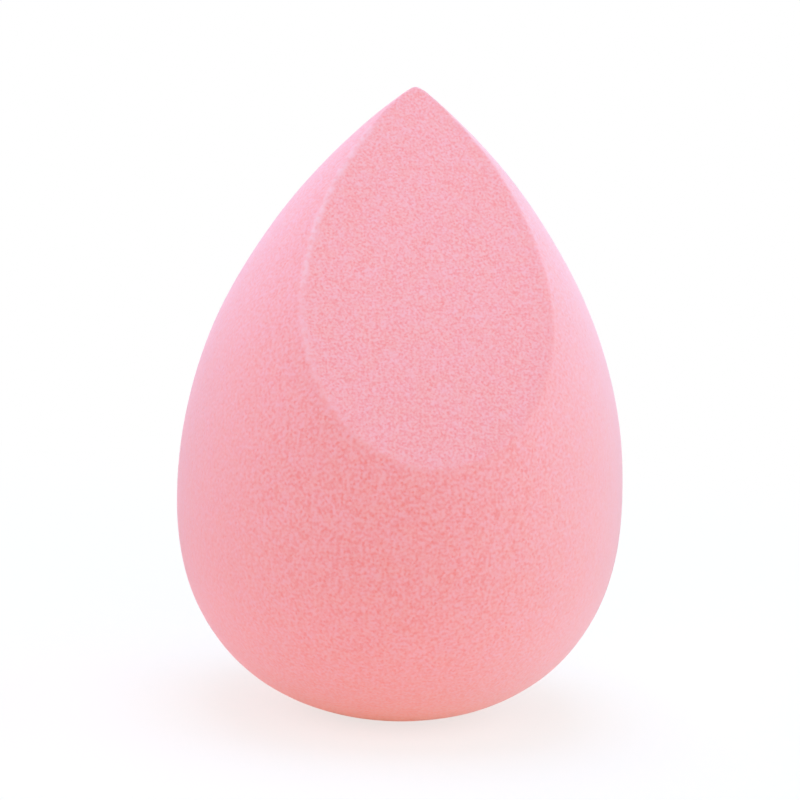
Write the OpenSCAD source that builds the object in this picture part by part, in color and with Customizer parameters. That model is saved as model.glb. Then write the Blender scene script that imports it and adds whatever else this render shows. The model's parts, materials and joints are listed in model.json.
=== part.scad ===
// Makeup sponge: a pointed egg of soft foam with one flat slanted cut, standing on a small flat foot.
// The foot lies on Z = 0 with the body's axis on Z. The cut faces -Y and up.

/* [Body] */
// Height of the uncut body, from the foot to the point
body_h = 60; // [54:0.5:68]
// Diameter at the widest place
body_d = 42.6; // [36:0.2:50]
// Height of the widest place above the foot
belly_h = 21; // [16:0.2:25]
// Fullness of the body below its widest place: 2 is a plain half ellipse, more is squarer
lower_fullness = 2.28; // [2:0.02:2.8]
// Radius of the side just above the widest place
shoulder_r = 43; // [36:0.5:52]
// Angle that the shoulder turns through before the flatter crown starts
shoulder_turn = 28; // [20:1:36]
// Depth of the rounded bottom that the flat foot takes away
foot_depth = 0.4; // [0.2:0.1:1.5]

/* [Slanted cut] */
// Angle between the cut face and the axis
cut_tilt = 32.5; // [26:0.5:38]
// How far behind the point the cut passes, so that its upper end is crisp
cut_setback = 0.3; // [0.1:0.1:2]

/* [Smoothness] */
// Straight steps that draw the outline below the widest place
lower_steps = 40; // [12:1:80]
// Straight steps that draw each of the two arcs above it
arc_steps = 14; // [6:1:30]

/* [Hidden] */
$fn = 180;
foam_pink = [0.95, 0.67, 0.72];

// Unit direction at an angle above the horizontal, and the angle of a direction
function along(angle) = [cos(angle), sin(angle)];
function angle_of(way) = atan2(way.y, way.x);

// Below the widest place the outline is a superellipse, which the foot ends early
lower_depth = belly_h + foot_depth;
foot_angle = asin((belly_h / lower_depth) ^ (lower_fullness / 2));
function lower_point(angle) = [
    body_d / 2 * cos(angle) ^ (2 / lower_fullness),
    belly_h - lower_depth * sin(angle) ^ (2 / lower_fullness)
];

// Above it a shoulder arc runs into a crown arc without a corner, and the crown ends at the point
belly = [body_d / 2, belly_h];
point = [0, body_h];
shoulder_c = belly - [shoulder_r, 0];
crown_way = along(shoulder_turn);
crown_start = shoulder_c + shoulder_r * crown_way;
crown_chord = point - crown_start;
crown_r = -(crown_chord * crown_chord) / (2 * crown_way * crown_chord);
crown_c = crown_start - crown_r * crown_way;

// Points of an arc about centre, between from and to and without these two
function arc(centre, from, to) =
    let (start = angle_of(from - centre), sweep = angle_of(to - centre) - start)
    [for (i = [1 : arc_steps - 1]) centre + norm(from - centre) * along(start + sweep * i / arc_steps)];

// Half of the body's outline, from the middle of the foot up to the point
outline = [
    [0, 0],
    for (i = [0 : lower_steps - 1]) lower_point(foot_angle * (1 - i / lower_steps)),
    belly,
    each arc(shoulder_c, belly, crown_start),
    crown_start,
    each arc(crown_c, crown_start, point),
    point
];

// Block of waste in front of the cut face, larger than the body on every side
module cut_waste() {
    reach = body_h + body_d;
    translate([0, cut_setback, body_h])
        rotate([-cut_tilt, 0, 0])
            translate([-reach / 2, -reach, -reach])
                cube([reach, reach, 2 * reach]);
}

module foam_body() {
    color(foam_pink)
        difference() {
            rotate_extrude() polygon(outline);
            cut_waste();
        }
}

foam_body();
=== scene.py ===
import json
import math

import bmesh
import bpy
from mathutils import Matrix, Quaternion, Vector


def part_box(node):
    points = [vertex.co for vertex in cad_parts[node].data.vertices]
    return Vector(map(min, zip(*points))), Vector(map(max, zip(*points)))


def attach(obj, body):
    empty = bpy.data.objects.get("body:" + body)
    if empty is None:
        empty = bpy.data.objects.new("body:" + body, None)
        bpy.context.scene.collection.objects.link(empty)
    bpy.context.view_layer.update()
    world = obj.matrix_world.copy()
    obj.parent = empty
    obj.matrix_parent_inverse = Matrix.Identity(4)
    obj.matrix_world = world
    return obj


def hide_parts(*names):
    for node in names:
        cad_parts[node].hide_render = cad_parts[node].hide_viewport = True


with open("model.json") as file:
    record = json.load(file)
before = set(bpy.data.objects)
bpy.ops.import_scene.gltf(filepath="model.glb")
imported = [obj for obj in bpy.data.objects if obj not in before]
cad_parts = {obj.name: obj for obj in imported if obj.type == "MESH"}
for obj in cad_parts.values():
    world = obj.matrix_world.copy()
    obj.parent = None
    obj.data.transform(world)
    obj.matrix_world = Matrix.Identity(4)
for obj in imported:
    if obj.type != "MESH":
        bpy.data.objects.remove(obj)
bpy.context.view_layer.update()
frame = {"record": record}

# Makeup sponge: one block of fine foam, a pointed egg with one slanted cut, standing on its round end
MM = 0.001
WHITE = (1, 1, 1, 1)
SEED = 7

# Sizes of the egg, as in the part's source
BODY_H = 60 * MM
BODY_D = 42.6 * MM
BELLY_H = 21 * MM
LOWER_FULLNESS = 2.28
SHOULDER_R = 43 * MM
SHOULDER_TURN = math.radians(28)
FOOT_DEPTH = 0.4 * MM
MIDDLE = Vector((0, 0, BODY_H / 2))

# How finely the egg is drawn, turned and made into grains
OUTLINE_STEPS = 60
LATHE_STEPS = 256
SAME_PLACE = MM / 10000
GRAIN = 0.15 * MM

# How many edge roundings deep the foam is measured, to find the surface that lies one rounding in
ROUNDINGS_DEEP = 4.0

# The slanted cut, from the mount on it
CUT = next(mount for mount in frame["record"]["mounts"] if mount["name"] == "cut_face")
CUT_PLACE = Vector(CUT["pos_m"])
CUT_NORMAL = Vector(CUT["axis"])

# How steeply the foam falls from the cut's edge, where it is all cut and where it is all skin
CUT_SLOPE = 0.1
SKIN_SLOPE = 0.32

# Two round patches side by side in the picture map, in shares of the picture
PATCH_HALF_WIDTH = 0.24
PATCH_HALF_HEIGHT = 0.48
PATCH_ASIDE = 0.25
PATCH_SQUEEZE = (1, 1, 0.75)

# Cells of the foam: coarser in the moulded skin, finer where the knife went
SKIN_CELL = 0.31 * MM
CUT_CELL = 0.26 * MM
RAGGED = 1.3
MEAN_PIT = 0.25

# How far a cell's floor and its wall lie from its middle, in cells
CELL_FLOOR = 0.1
CELL_WALL = 0.6

# The foam's mottle: cells, fine lumps and winding strands. Sizes are in cells
CELL_SHARE = 0.55
FINE_SHARE = 0.95
FINE_SIZE = 0.9
FINE_DETAIL = 0.4
STRAND_SHARE = 0.15
STRAND_SIZE = 1.4
STRAND_WIDTH = 0.16
MEAN_STRAND = 0.7

# The grain is painted fainter on the sides of the foam than on its front and back, and faintest on the
# right side, standing in for the grain washed out by the side light
SIDE_START = BODY_D * 0.27
SIDE_END = BODY_D * 0.47
SIDE_GRAIN = 0.55
RIGHT_START = BODY_D * 0.15
RIGHT_END = BODY_D * 0.45
RIGHT_GRAIN = 0.5

# Colours of the foam, linear
SKIN_STRAND = (0.97, 0.405, 0.475, 1)
SKIN_PIT = (0.95, 0.21, 0.2, 1)
CUT_STRAND = (0.98, 0.444, 0.505, 1)
CUT_PIT = (0.96, 0.22, 0.22, 1)
WARM_DRIFT = (1, 0.99, 0.94, 1)
COOL_DRIFT = (1, 1.01, 1.06, 1)
DRIFT_SIZE = 1.3 * MM
DRIFT_SPREAD = 0.6
SHEEN_COLOUR = (1.0, 0.78, 0.94, 1.0)
STRAND_ROUGHNESS = 0.85
BUMP_DEPTH = 0.01 * MM

# The cut is painted a little darker low down: painted shade for the dimmer light on its lower part
CUT_LOW_SHADE = (0.975, 0.95, 0.94, 1)
CUT_LOW = BODY_H * 0.45
CUT_HIGH = BODY_H * 0.78

# The pale frayed edge that the knife left, with a painted highlight where light catches it: from the top of
# the left side down to the middle
RIM_FRAY_AND_HIGHLIGHT_COLOUR = (1.0, 0.59, 0.68, 1)
RIM_WIDTH = 0.6 * MM
RIM_SHARE = 0.85
RIM_LOW_SHARE = 0.15
RIM_HIGH = BODY_H * 0.8
FRAY_SIZE = 0.6 * MM
FRAY_SPREAD = 0.3
FRAY_LEAST = 0.3

# Where the left side begins, and how far cut and skin run into each other at the edge
LEFT_START = BODY_D * 0.1
LEFT_END = -BODY_D * 0.05
SOFT_WIDTH = 0.9 * MM

# The skin beside the edge near the point, worn through to foam like the cut's, and darkened there with
# painted shade that holds down the sheen's pale strip
WORN_SHADE_COLOUR = (0.99, 0.86, 0.86, 1)
WORN_WIDTH = 3 * MM
WORN_LENGTH = 4 * MM
WORN_START = BODY_H - WORN_LENGTH * 1.2
WORN_END = BODY_H - WORN_LENGTH * 0.8

# The studio. The floor close round the sponge glows warm, unseen by the camera: a painted glow that stands
# in for light coming through the foam
FLOOR_SIZE = 6.0
FLOOR_COLOUR = (1.0, 0.79, 0.67, 1)
FLOOR_GLOW = 0.7
FLOOR_GLOW_START = BODY_D
FLOOR_GLOW_END = 4 * BODY_D
WARM_GLOW_COLOUR = (1.0, 0.76, 0.18, 1)
WARM_GLOW_LEVEL = 0.168
WARM_GLOW_START = 6 * MM
WARM_GLOW_END = 36 * MM
ROOM_LEVEL = 0.12
LAMP_AWAY = 0.5

# Where the photograph was taken from
AIM = Vector((-0.35, 0, 29.99)) * MM
CAMERA_AZIMUTH = math.radians(-8.59)
CAMERA_ELEVATION = math.radians(7.17)
CAMERA_ROLL = math.radians(2.34)
CAMERA_AWAY = 220 * MM
CAMERA_REACH = 100
PICTURE_WIDTH_PX = 800
FOCAL_PX = 2300
SENSOR = 36


class Bench:
    """Adds nodes to one tree and joins them as they are made."""

    def __init__(self, tree):
        self.tree = tree

    def add(self, kind, inputs=None, **settings):
        made = self.tree.nodes.new(kind)
        for name, value in settings.items():
            setattr(made, name, value)
        for name, value in (inputs or {}).items():
            if isinstance(value, bpy.types.NodeSocket):
                self.tree.links.new(value, made.inputs[name])
            else:
                made.inputs[name].default_value = value
        return made

    def math(self, operation, *values):
        return self.add("ShaderNodeMath", dict(enumerate(values)), operation=operation).outputs[0]

    def product(self, first, *others):
        for other in others:
            first = self.math("MULTIPLY", first, other)
        return first

    def vector(self, operation, *values):
        return self.add("ShaderNodeVectorMath", dict(enumerate(values)), operation=operation).outputs[0]

    def scaled(self, vector, scale):
        return self.add("ShaderNodeVectorMath", {0: vector, "Scale": scale}, operation="SCALE").outputs[0]

    def length_along(self, vector, way):
        both = {0: vector, 1: way}
        return self.add("ShaderNodeVectorMath", both, operation="DOT_PRODUCT").outputs["Value"]

    def parts(self, vector):
        return self.add("ShaderNodeSeparateXYZ", {0: vector}).outputs

    def blend(self, value, low, high, to_low=0.0, to_high=1.0):
        """Smooth step of value, from to_low at low to to_high at high."""
        inputs = {"Value": value, "From Min": low, "From Max": high, "To Min": to_low, "To Max": to_high}
        return self.add("ShaderNodeMapRange", inputs, interpolation_type="SMOOTHSTEP").outputs[0]

    def between(self, share, first, second):
        return self.add("ShaderNodeMix", {"Factor": share, "A": first, "B": second}).outputs["Result"]

    def colour_between(self, share, first, second):
        """Colour sockets of the Mix node go by number, because its number sockets have the same names."""
        return self.add("ShaderNodeMix", {0: share, 6: first, 7: second}, data_type="RGBA").outputs[2]

    def noise(self, place, size, detail=1.0):
        """Noise about 0, from -1 to 1, whose lumps are size wide."""
        inputs = {"Vector": place, "Scale": self.math("DIVIDE", 1.0, size), "Detail": detail}
        found = self.add("ShaderNodeTexNoise", inputs).outputs[0]
        return self.math("MULTIPLY_ADD", found, 2.0, -1.0)


def new_group(name, kind, inputs, outputs):
    """A node group with named sockets: its bench, its inputs by name and its output node's sockets."""
    tree = bpy.data.node_groups.new(name, kind)
    for in_out, sockets in (("INPUT", inputs), ("OUTPUT", outputs)):
        for label, socket_kind in sockets.items():
            tree.interface.new_socket(label, in_out=in_out, socket_type="NodeSocket" + socket_kind)
    bench = Bench(tree)
    return bench, bench.add("NodeGroupInput").outputs, bench.add("NodeGroupOutput").inputs


def cell_pits(bench, place, size, ragged):
    """How deep each place lies in a cell of the foam: 0 on the strands between cells, up to 1 in a cell."""
    per_size = bench.math("DIVIDE", 1.0, size)
    warp = {"Vector": place, "Scale": per_size, "Detail": 1.0}
    warp = bench.add("ShaderNodeTexNoise", warp).outputs["Color"]
    warp = bench.vector("SUBTRACT", warp, (0.5, 0.5, 0.5))
    bent = bench.vector("ADD", place, bench.scaled(warp, bench.math("MULTIPLY", size, ragged)))
    cells = bench.add("ShaderNodeTexVoronoi", {"Vector": bent, "Scale": per_size}).outputs
    own_depth = bench.blend(bench.parts(cells["Color"])[0], 0.0, 1.0)
    return bench.product(bench.blend(cells["Distance"], CELL_WALL, CELL_FLOOR), own_depth)


def egg_outline():
    """Half of the uncut body's outline, from the middle of the foot up to the point."""
    lower_depth = BELLY_H + FOOT_DEPTH
    foot_angle = math.asin((BELLY_H / lower_depth) ** (LOWER_FULLNESS / 2))
    points = [Vector((0, 0))]
    for step in range(OUTLINE_STEPS):
        angle = foot_angle * (1 - step / OUTLINE_STEPS)
        out = BODY_D / 2 * math.cos(angle) ** (2 / LOWER_FULLNESS)
        up = BELLY_H - lower_depth * math.sin(angle) ** (2 / LOWER_FULLNESS)
        points.append(Vector((out, up)))
    belly = Vector((BODY_D / 2, BELLY_H))
    point = Vector((0, BODY_H))
    shoulder_centre = belly - Vector((SHOULDER_R, 0))
    crown_way = Vector((math.cos(SHOULDER_TURN), math.sin(SHOULDER_TURN)))
    crown_start = shoulder_centre + SHOULDER_R * crown_way
    chord = point - crown_start
    crown_centre = crown_start + chord.dot(chord) / (2 * crown_way.dot(chord)) * crown_way
    points += arc(shoulder_centre, belly, crown_start) + arc(crown_centre, crown_start, point)
    return points + [point]


def arc(centre, start, end):
    """Points of an arc about centre, from start and without end."""
    first = math.atan2(*(start - centre).yx)
    sweep = math.atan2(*(end - centre).yx) - first
    radius = (start - centre).length
    angles = [first + sweep * step / OUTLINE_STEPS for step in range(OUTLINE_STEPS)]
    return [centre + radius * Vector((math.cos(angle), math.sin(angle))) for angle in angles]


def turned_egg():
    """The uncut egg, its outline turned once round the axis."""
    solid = bmesh.new()
    outline = [solid.verts.new((point.x, 0, point.y)) for point in egg_outline()]
    edges = [solid.edges.new(pair) for pair in zip(outline, outline[1:])]
    bmesh.ops.spin(solid, geom=outline + edges, cent=(0, 0, 0), axis=(0, 0, 1),
                   angle=2 * math.pi, steps=LATHE_STEPS, use_merge=True)
    bmesh.ops.remove_doubles(solid, verts=solid.verts, dist=SAME_PLACE)
    bmesh.ops.recalc_face_normals(solid, faces=solid.faces)
    mesh = bpy.data.meshes.new("turned_egg")
    solid.to_mesh(mesh)
    solid.free()
    return mesh


def knife_cut(bench, given):
    """The egg without what lies in front of the cut, and the sharp edge that the knife left."""
    # The knife is a block, half its depth forward, so that its back lies in the cut once it is turned
    size = given["Knife Size"]
    block = bench.add("GeometryNodeMeshCube", {"Size": bench.scaled((1, 1, 1), size)}).outputs["Mesh"]
    forward = {"Geometry": block, "Translation": bench.scaled((0, -0.5, 0), size)}
    block = bench.add("GeometryNodeTransform", forward).outputs[0]
    turned = {"Geometry": block, "Translation": given["Cut Place"], "Rotation": given["Cut Tilt"]}
    block = bench.add("GeometryNodeTransform", turned).outputs[0]
    both = {"Mesh 1": given["Geometry"], "Mesh 2": block}
    egg = bench.add("GeometryNodeMeshBoolean", both, operation="DIFFERENCE", solver="EXACT")
    egg = egg.outputs["Mesh"]
    bend = bench.add("GeometryNodeInputMeshEdgeAngle").outputs["Unsigned Angle"]
    sharp = {"Geometry": egg, "Selection": bench.math("GREATER_THAN", bend, given["Sharp Edge"])}
    return egg, bench.add("GeometryNodeSeparateGeometry", sharp, domain="EDGE").outputs[0]


def even_grains(bench, given, egg):
    """The egg in small even faces. It shrinks by the edge's rounding and swells back, which blunts it."""
    band = bench.math("MULTIPLY", given["Edge Rounding"], ROUNDINGS_DEEP)
    volume = {"Mesh": egg, "Voxel Amount": given["Grains Across"], "Interior Band Width": band}
    volume = bench.add("GeometryNodeMeshToVolume", volume, resolution_mode="VOXEL_AMOUNT").outputs[0]
    shrunk = {"Volume": volume, "Threshold": 1 / ROUNDINGS_DEEP}
    foam = bench.add("GeometryNodeVolumeToMesh", shrunk).outputs[0]
    normal = bench.add("GeometryNodeInputNormal").outputs[0]
    outwards = {"Geometry": foam, "Offset": bench.scaled(normal, given["Edge Rounding"])}
    return bench.add("GeometryNodeSetPosition", outwards).outputs[0]


def stored(bench, foam, label, value, **settings):
    """The foam with value kept on it as an attribute."""
    kept = bench.add("GeometryNodeStoreNamedAttribute", {"Geometry": foam, "Name": label}, **settings)
    bench.tree.links.new(value, kept.inputs["Value"])
    return kept.outputs[0]


def marked(bench, given, foam, rim):
    """The foam with each place's distance from the cut's edge, and whether it lies on the cut."""
    place = bench.add("GeometryNodeInputPosition").outputs[0]
    rim_away = bench.add("GeometryNodeProximity", {"Geometry": rim}, target_element="EDGES")
    rim_away = rim_away.outputs["Distance"]
    from_cut = bench.vector("SUBTRACT", place, given["Cut Place"])
    below_cut = bench.math("ABSOLUTE", bench.length_along(from_cut, given["Cut Normal"]))
    slope = bench.math("DIVIDE", below_cut, bench.math("ADD", rim_away, given["Edge Rounding"]))
    foam = stored(bench, foam, "rim_away", rim_away)
    return stored(bench, foam, "on_cut", bench.blend(slope, SKIN_SLOPE, CUT_SLOPE))


def relief(bench, given):
    """How far the foam stands out: slow swells, pits of cells, a crown on the cut and a frayed edge."""
    place = bench.add("GeometryNodeInputPosition").outputs[0]
    place = bench.vector("ADD", place, bench.scaled((MM, MM, MM), given["Seed"]))
    rim_away = bench.add("GeometryNodeInputNamedAttribute", {"Name": "rim_away"}).outputs[0]
    on_cut = bench.add("GeometryNodeInputNamedAttribute", {"Name": "on_cut"}).outputs[0]
    swell = bench.product(bench.noise(place, given["Swell Length"]), given["Swell Height"])
    depth = bench.between(on_cut, given["Cell Depth"], given["Cut Cell Depth"])
    pits = bench.math("SUBTRACT", MEAN_PIT, cell_pits(bench, place, given["Cell Size"], RAGGED))
    pits = bench.product(pits, depth)
    crown = bench.product(bench.blend(rim_away, 0.0, given["Crown Reach"]), on_cut, given["Cut Crown"])
    at_rim = bench.blend(rim_away, given["Fray Reach"], 0.0)
    frays = bench.noise(place, given["Fray Length"], detail=2.0)
    fray = bench.product(frays, given["Fray Height"], at_rim)
    return bench.math("ADD", bench.math("ADD", swell, pits), bench.math("ADD", crown, fray))


def wrapped(bench, given, foam):
    """A picture map: the front of the foam as one round patch, the back as another."""
    place = bench.add("GeometryNodeInputPosition").outputs[0]
    middle = bench.vector("SUBTRACT", place, given["Wrap Middle"])
    way = bench.vector("NORMALIZE", bench.vector("MULTIPLY", middle, PATCH_SQUEEZE))
    east, north, up = bench.parts(way)
    face_place = bench.add("GeometryNodeFieldOnDomain", data_type="FLOAT", domain="FACE")
    bench.tree.links.new(bench.parts(place)[1], face_place.inputs[0])
    side = bench.math("SIGN", face_place.outputs[0])

    # Each half of all the ways from the middle is laid flat as a disc, which keeps its areas even
    reach = bench.math("INVERSE_SQRT", bench.math("MULTIPLY_ADD", north, side, 1.0))
    across = bench.product(east, reach, side, -PATCH_HALF_WIDTH)
    across = bench.math("ADD", across, bench.math("MULTIPLY_ADD", side, PATCH_ASIDE, 0.5))
    along = bench.math("MULTIPLY_ADD", bench.product(up, reach), PATCH_HALF_HEIGHT, 0.5)
    patch = bench.add("ShaderNodeCombineXYZ", {0: across, 1: along}).outputs[0]
    return stored(bench, foam, "OFBake", patch, data_type="FLOAT2", domain="CORNER")


def cut_foam_tree():
    """Geometry nodes that cut the egg, turn it into even foam and raise its relief."""
    inputs = {
        "Geometry": "Geometry",
        "Cut Place": "Vector",
        "Cut Normal": "Vector",
        "Cut Tilt": "Vector",
        "Knife Size": "Float",
        "Sharp Edge": "Float",
        "Edge Rounding": "Float",
        "Grains Across": "Float",
        "Cut Crown": "Float",
        "Crown Reach": "Float",
        "Swell Height": "Float",
        "Swell Length": "Float",
        "Cell Size": "Float",
        "Cell Depth": "Float",
        "Cut Cell Depth": "Float",
        "Fray Height": "Float",
        "Fray Length": "Float",
        "Fray Reach": "Float",
        "Seed": "Float",
        "Wrap Middle": "Vector",
        "Foam": "Material",
    }
    bench, given, result = new_group("cut_foam", "GeometryNodeTree", inputs, {"Geometry": "Geometry"})
    egg, rim = knife_cut(bench, given)
    foam = marked(bench, given, even_grains(bench, given, egg), rim)
    normal = bench.add("GeometryNodeInputNormal").outputs[0]
    raised = {"Geometry": foam, "Offset": bench.scaled(normal, relief(bench, given))}
    foam = bench.add("GeometryNodeSetPosition", raised).outputs[0]

    # The foot presses flat on what the sponge stands on, and limits a metre off leave the other ways free
    place = bench.add("GeometryNodeInputPosition").outputs[0]
    pressed = {"Geometry": foam, "Position": bench.vector("MAXIMUM", place, (-1, -1, 0))}
    foam = bench.add("GeometryNodeSetPosition", pressed).outputs[0]

    foam = wrapped(bench, given, foam)
    foam = bench.add("GeometryNodeRealizeInstances", {"Geometry": foam}).outputs[0]
    foam = bench.add("GeometryNodeSetShadeSmooth", {"Geometry": foam}).outputs[0]
    foam = bench.add("GeometryNodeSetMaterial", {"Geometry": foam, "Material": given["Foam"]}).outputs[0]
    bench.tree.links.new(foam, result["Geometry"])
    return bench.tree


def made_piece(name, start, tree, values, material):
    """A plain mesh piece that geometry nodes make of start, with values by socket name and one material."""
    piece = bpy.data.objects.new(name, start)
    bpy.context.scene.collection.objects.link(piece)
    nodes = piece.modifiers.new(name, "NODES")
    nodes.node_group = tree
    sockets = {item.name: item.identifier for item in tree.interface.items_tree if item.in_out == "INPUT"}
    for label, value in values.items():
        nodes[sockets[label]] = value
    depsgraph = bpy.context.evaluated_depsgraph_get()
    mesh = bpy.data.meshes.new_from_object(piece.evaluated_get(depsgraph))
    piece.modifiers.remove(nodes)
    mesh.name = name
    mesh.materials.clear()
    mesh.materials.append(material)
    mesh.polygons.foreach_set("material_index", [0] * len(mesh.polygons))
    piece.data = mesh
    return piece


def sponge(foam):
    """The whole sponge in soft foam, in the CAD's shape."""
    lowest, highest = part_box("foam_body")
    diagonal = (highest - lowest).length
    values = {
        "Cut Place": CUT_PLACE,
        "Cut Normal": CUT_NORMAL,
        "Cut Tilt": (-math.asin(CUT_NORMAL.z), 0, 0),
        "Knife Size": 2 * (BODY_H + BODY_D),
        "Sharp Edge": math.radians(15),
        "Edge Rounding": 0.15 * MM,
        "Grains Across": diagonal / GRAIN,
        "Cut Crown": 0.12 * MM,
        "Crown Reach": 9 * MM,
        "Swell Height": 0.05 * MM,
        "Swell Length": 7 * MM,
        "Cell Size": SKIN_CELL,
        "Cell Depth": 0.025 * MM,
        "Cut Cell Depth": 0.015 * MM,
        "Fray Height": 0.06 * MM,
        "Fray Length": 0.6 * MM,
        "Fray Reach": 0.6 * MM,
        "Seed": float(SEED),
        "Wrap Middle": MIDDLE,
        "Foam": foam,
    }
    return made_piece("sponge_foam", turned_egg(), cut_foam_tree(), values, foam)


def bare_tree(owner):
    """A bench for the nodes of a material or a room, which starts without any."""
    owner.use_nodes = True
    owner.node_tree.nodes.clear()
    return Bench(owner.node_tree)


def foam_cells_group():
    """Shader group of the foam's mottle: 0 on the palest strands, 1 in the deepest pits, 0.5 on average."""
    inputs = {
        "Place": "Vector",
        "Cell Size": "Float",
        "Ragged": "Float",
        "Cell Share": "Float",
        "Fine Share": "Float",
        "Strand Share": "Float",
    }
    bench, given, result = new_group("foam_cells", "ShaderNodeTree", inputs, {"Pit": "Float"})
    place, size = given["Place"], given["Cell Size"]
    cells = bench.math("SUBTRACT", cell_pits(bench, place, size, given["Ragged"]), MEAN_PIT)
    fine = bench.noise(place, bench.product(size, FINE_SIZE), FINE_DETAIL)
    aside = bench.vector("ADD", place, (MM, 0, 0))
    winding = bench.math("ABSOLUTE", bench.noise(aside, bench.product(size, STRAND_SIZE)))
    strands = bench.math("SUBTRACT", bench.blend(winding, 0.0, STRAND_WIDTH), MEAN_STRAND)
    pit = bench.math("MULTIPLY_ADD", cells, given["Cell Share"], 0.5)
    pit = bench.math("MULTIPLY_ADD", fine, given["Fine Share"], pit)
    bench.tree.links.new(bench.math("MULTIPLY_ADD", strands, given["Strand Share"], pit), result["Pit"])
    return bench.tree


def mottle(bench, cells, place, cell_size):
    """The foam's mottle with cells of this size, from the shader group."""
    inputs = {
        "Place": place,
        "Cell Size": cell_size,
        "Ragged": RAGGED,
        "Cell Share": CELL_SHARE,
        "Fine Share": FINE_SHARE,
        "Strand Share": STRAND_SHARE,
    }
    return bench.add("ShaderNodeGroup", inputs, node_tree=cells).outputs["Pit"]


def foam_material():
    """Coral pink foam: coarse cells in the skin, fine ones on the cut, and a pale frayed rim between, with
    a painted highlight on its upper left.
    """
    material = bpy.data.materials.new("coral_foam")
    bench = bare_tree(material)
    object_place = bench.add("ShaderNodeTexCoord").outputs["Object"]
    place = bench.vector("ADD", object_place, (MM * SEED, MM * SEED, MM * SEED))
    on_cut = bench.add("ShaderNodeAttribute", attribute_name="on_cut").outputs["Fac"]
    rim_away = bench.add("ShaderNodeAttribute", attribute_name="rim_away").outputs["Fac"]
    cells = foam_cells_group()
    skin_pit = mottle(bench, cells, place, SKIN_CELL)
    cut_pit = mottle(bench, cells, place, CUT_CELL)

    # Cut and skin run into each other at the edge, and the skin is worn through beside it near the point,
    # where painted shade darkens it
    ways = bench.parts(object_place)
    across, height = ways["X"], ways["Z"]
    side = bench.math("SUBTRACT", on_cut, 0.5)
    cut_share = bench.blend(rim_away, 0.0, SOFT_WIDTH, 0.5, 1.0)
    cut_share = bench.math("MULTIPLY_ADD", side, cut_share, 0.5)
    left = bench.blend(across, LEFT_START, LEFT_END)
    near_point = bench.blend(height, WORN_START, WORN_END)
    worn = bench.product(near_point, bench.blend(rim_away, WORN_WIDTH, WORN_WIDTH / 2), left)
    worn_skin_shade = bench.product(worn, bench.math("SUBTRACT", 1.0, on_cut))
    cut_share = bench.math("MAXIMUM", cut_share, worn)
    pit = bench.between(cut_share, skin_pit, cut_pit)

    # How much of the grain shows: painted fainter at the sides, where the side light washes it out
    shown = bench.blend(bench.math("ABSOLUTE", across), SIDE_START, SIDE_END, 1.0, SIDE_GRAIN)
    shown = bench.product(shown, bench.blend(across, RIGHT_START, RIGHT_END, 1.0, RIGHT_GRAIN))
    shown_pit = bench.math("MULTIPLY_ADD", bench.math("SUBTRACT", pit, 0.5), shown, 0.5)

    # Colours of the skin and of the cut, which drift a little between warm and cool
    skin_colour = bench.colour_between(shown_pit, SKIN_STRAND, SKIN_PIT)
    cut_colour = bench.colour_between(shown_pit, CUT_STRAND, CUT_PIT)
    # Painted shade: the cut is darkened low down
    cut_low_shade = bench.colour_between(bench.blend(height, CUT_LOW, CUT_HIGH), CUT_LOW_SHADE, WHITE)
    cut_colour = bench.vector("MULTIPLY", cut_colour, cut_low_shade)
    colour = bench.colour_between(cut_share, skin_colour, cut_colour)
    drift = bench.blend(bench.noise(place, DRIFT_SIZE), -DRIFT_SPREAD, DRIFT_SPREAD)
    colour = bench.vector("MULTIPLY", colour, bench.colour_between(drift, WARM_DRIFT, COOL_DRIFT))
    # Painted shade darkens the worn skin near the point, against the sheen's pale strip there
    colour = bench.vector("MULTIPLY", colour, bench.colour_between(worn_skin_shade, WHITE, WORN_SHADE_COLOUR))

    # The knife left the edge frayed and pale; a painted highlight makes it palest on the left, from below
    # the worn place down to the middle
    frays = bench.blend(bench.noise(place, FRAY_SIZE), -FRAY_SPREAD, FRAY_SPREAD, FRAY_LEAST, 1.0)
    high = bench.blend(height, CUT_LOW, RIM_HIGH, RIM_LOW_SHARE, 1.0)
    unworn = bench.math("SUBTRACT", 1.0, near_point)
    rim = bench.product(bench.blend(rim_away, RIM_WIDTH, 0.0), frays, high, left, unworn, RIM_SHARE)
    colour = bench.colour_between(rim, colour, RIM_FRAY_AND_HIGHLIGHT_COLOUR)

    raised = bench.math("SUBTRACT", 0.5, shown_pit)
    bump = bench.add("ShaderNodeBump", {"Height": raised, "Strength": 1.0, "Distance": BUMP_DEPTH})
    foam = bench.add("ShaderNodeBsdfPrincipled", {
        "Base Color": colour,
        "Roughness": bench.blend(pit, 0.0, 1.0, STRAND_ROUGHNESS, 1.0),
        "Normal": bump.outputs["Normal"],
        "Specular IOR Level": 0.1,
        "Sheen Weight": 1.0,
        "Sheen Roughness": 0.8,
        "Sheen Tint": SHEEN_COLOUR,
    })
    bench.add("ShaderNodeOutputMaterial", {"Surface": foam.outputs[0]})
    return material


def seen_by_camera(bench):
    """1 for what the camera sees, also in gloss and through glass, and 0 for what lights the sponge."""
    path = bench.add("ShaderNodeLightPath").outputs
    seen = bench.math("MAXIMUM", path["Is Camera Ray"], path["Is Glossy Ray"])
    return bench.math("MAXIMUM", seen, path["Is Transmission Ray"])


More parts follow.
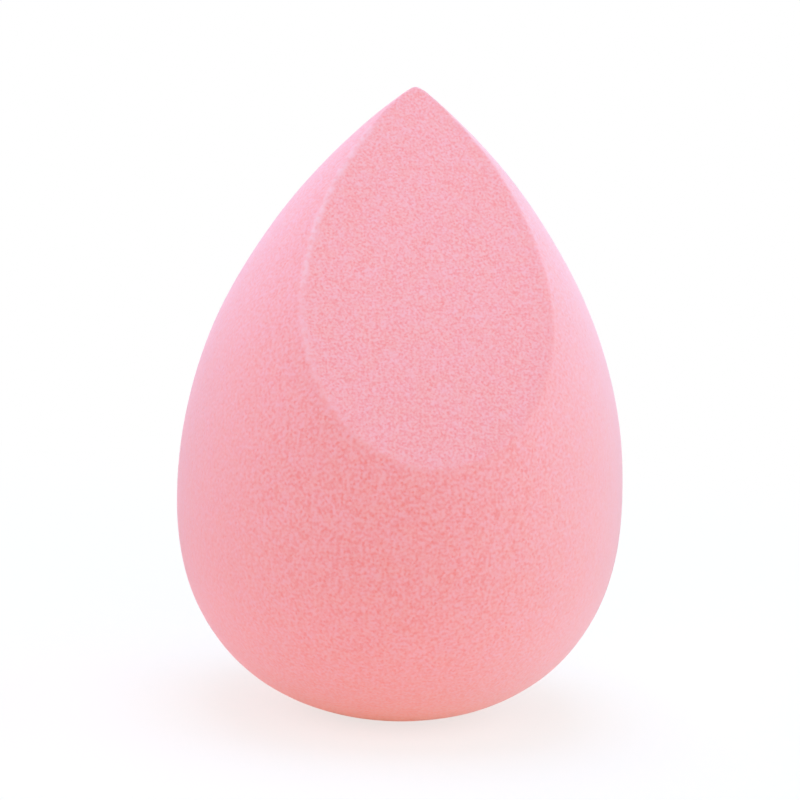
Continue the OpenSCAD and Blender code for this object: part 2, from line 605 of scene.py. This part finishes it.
def floor_material():
    """Warm pale paper, white to the camera but for the sponge's shadow, with a painted warm glow that
    lights its foot.
    """
    material = bpy.data.materials.new("pale_floor")
    bench = bare_tree(material)
    seen = seen_by_camera(bench)
    paper = bench.add("ShaderNodeBsdfDiffuse", {"Color": bench.colour_between(seen, FLOOR_COLOUR, WHITE)})
    glow = bench.add("ShaderNodeEmission", {"Color": WHITE, "Strength": 1.0})
    place = bench.add("ShaderNodeTexCoord").outputs["Object"]
    away = bench.add("ShaderNodeVectorMath", {0: place}, operation="LENGTH").outputs["Value"]
    share = bench.blend(away, FLOOR_GLOW_START, FLOOR_GLOW_END, FLOOR_GLOW, 1.0)
    share = bench.math("MULTIPLY", seen, share)
    mixed = bench.add("ShaderNodeMixShader", {0: share, 1: paper.outputs[0], 2: glow.outputs[0]})
    unseen = bench.math("SUBTRACT", 1.0, seen)
    warm = bench.blend(away, WARM_GLOW_START, WARM_GLOW_END, WARM_GLOW_LEVEL, 0.0)
    warm = {"Color": WARM_GLOW_COLOUR, "Strength": bench.product(unseen, warm)}
    warm = bench.add("ShaderNodeEmission", warm)
    lit = bench.add("ShaderNodeAddShader", {0: mixed.outputs[0], 1: warm.outputs[0]})
    bench.add("ShaderNodeOutputMaterial", {"Surface": lit.outputs[0]})
    return material


def floor():
    """The paper that the sponge stands on, which isn't part of it."""
    mesh = bpy.data.meshes.new("floor")
    half = FLOOR_SIZE / 2
    corners = [(-half, -half, 0), (half, -half, 0), (half, half, 0), (-half, half, 0)]
    mesh.from_pydata(corners, [], [(0, 1, 2, 3)])
    mesh.materials.append(floor_material())
    sheet = bpy.data.objects.new("floor", mesh)
    bpy.context.scene.collection.objects.link(sheet)


def room():
    """White surroundings, which add a little light from everywhere."""
    world = bpy.data.worlds.new("white_room")
    bench = bare_tree(world)
    fill = bench.add("ShaderNodeBackground", {"Color": WHITE, "Strength": ROOM_LEVEL})
    white = bench.add("ShaderNodeBackground", {"Color": WHITE, "Strength": 1.0})
    both = {0: seen_by_camera(bench), 1: fill.outputs[0], 2: white.outputs[0]}
    mixed = bench.add("ShaderNodeMixShader", both)
    bench.add("ShaderNodeOutputWorld", {"Surface": mixed.outputs[0]})
    bpy.context.scene.world = world


def way_out(azimuth, elevation):
    """The way from the sponge at an azimuth, from its front round to its right, and an elevation."""
    level = math.cos(elevation)
    return Vector((math.sin(azimuth) * level, -math.cos(azimuth) * level, math.sin(elevation)))


def placed(name, data, place, turn):
    """A lamp or camera in the scene."""
    holder = bpy.data.objects.new(name, data)
    bpy.context.scene.collection.objects.link(holder)
    holder.location = place
    holder.rotation_mode = "QUATERNION"
    holder.rotation_quaternion = turn
    return holder


def softbox(name, azimuth, elevation, size, level, colour):
    """A square lamp that faces the middle of the sponge and lights it at level times its own colour."""
    lamp = bpy.data.lights.new(name, "AREA")
    lamp.shape = "SQUARE"
    lamp.size = size
    lamp.color = colour
    lamp.energy = level * (math.pi * LAMP_AWAY) ** 2
    way = way_out(math.radians(azimuth), math.radians(elevation))
    placed(name, lamp, MIDDLE + way * LAMP_AWAY, way.to_track_quat("Z", "Y"))


def photo_camera():
    """The camera, where the photograph was taken from."""
    camera = bpy.data.cameras.new("photo_camera")
    camera.lens = FOCAL_PX / PICTURE_WIDTH_PX * SENSOR
    camera.sensor_width = SENSOR
    camera.clip_start = CAMERA_AWAY / CAMERA_REACH
    camera.clip_end = CAMERA_AWAY * CAMERA_REACH
    back = way_out(CAMERA_AZIMUTH, CAMERA_ELEVATION)
    turn = (-back).to_track_quat("-Z", "Y") @ Quaternion((0, 0, 1), CAMERA_ROLL)
    bpy.context.scene.camera = placed("photo_camera", camera, AIM + back * CAMERA_AWAY, turn)


photo_camera()
foam_block = sponge(foam_material())
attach(foam_block, "root")
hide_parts("foam_body")

floor()
room()
softbox("left_softbox", azimuth=-110, elevation=15, size=0.5, level=0.475, colour=(1, 0.88, 0.97))
softbox("right_softbox", azimuth=88, elevation=15, size=0.5, level=0.575, colour=(0.68, 0.98, 1))
softbox("front_softbox", azimuth=0, elevation=30, size=0.5, level=0.51, colour=(1, 1, 0.88))
softbox("top_softbox", azimuth=0, elevation=89, size=0.35, level=0.65, colour=(0.65, 0.74, 1))
softbox("back_softbox", azimuth=180, elevation=40, size=0.4, level=0.25, colour=(1, 1, 1))

bpy.context.scene.view_settings.view_transform = "Standard"
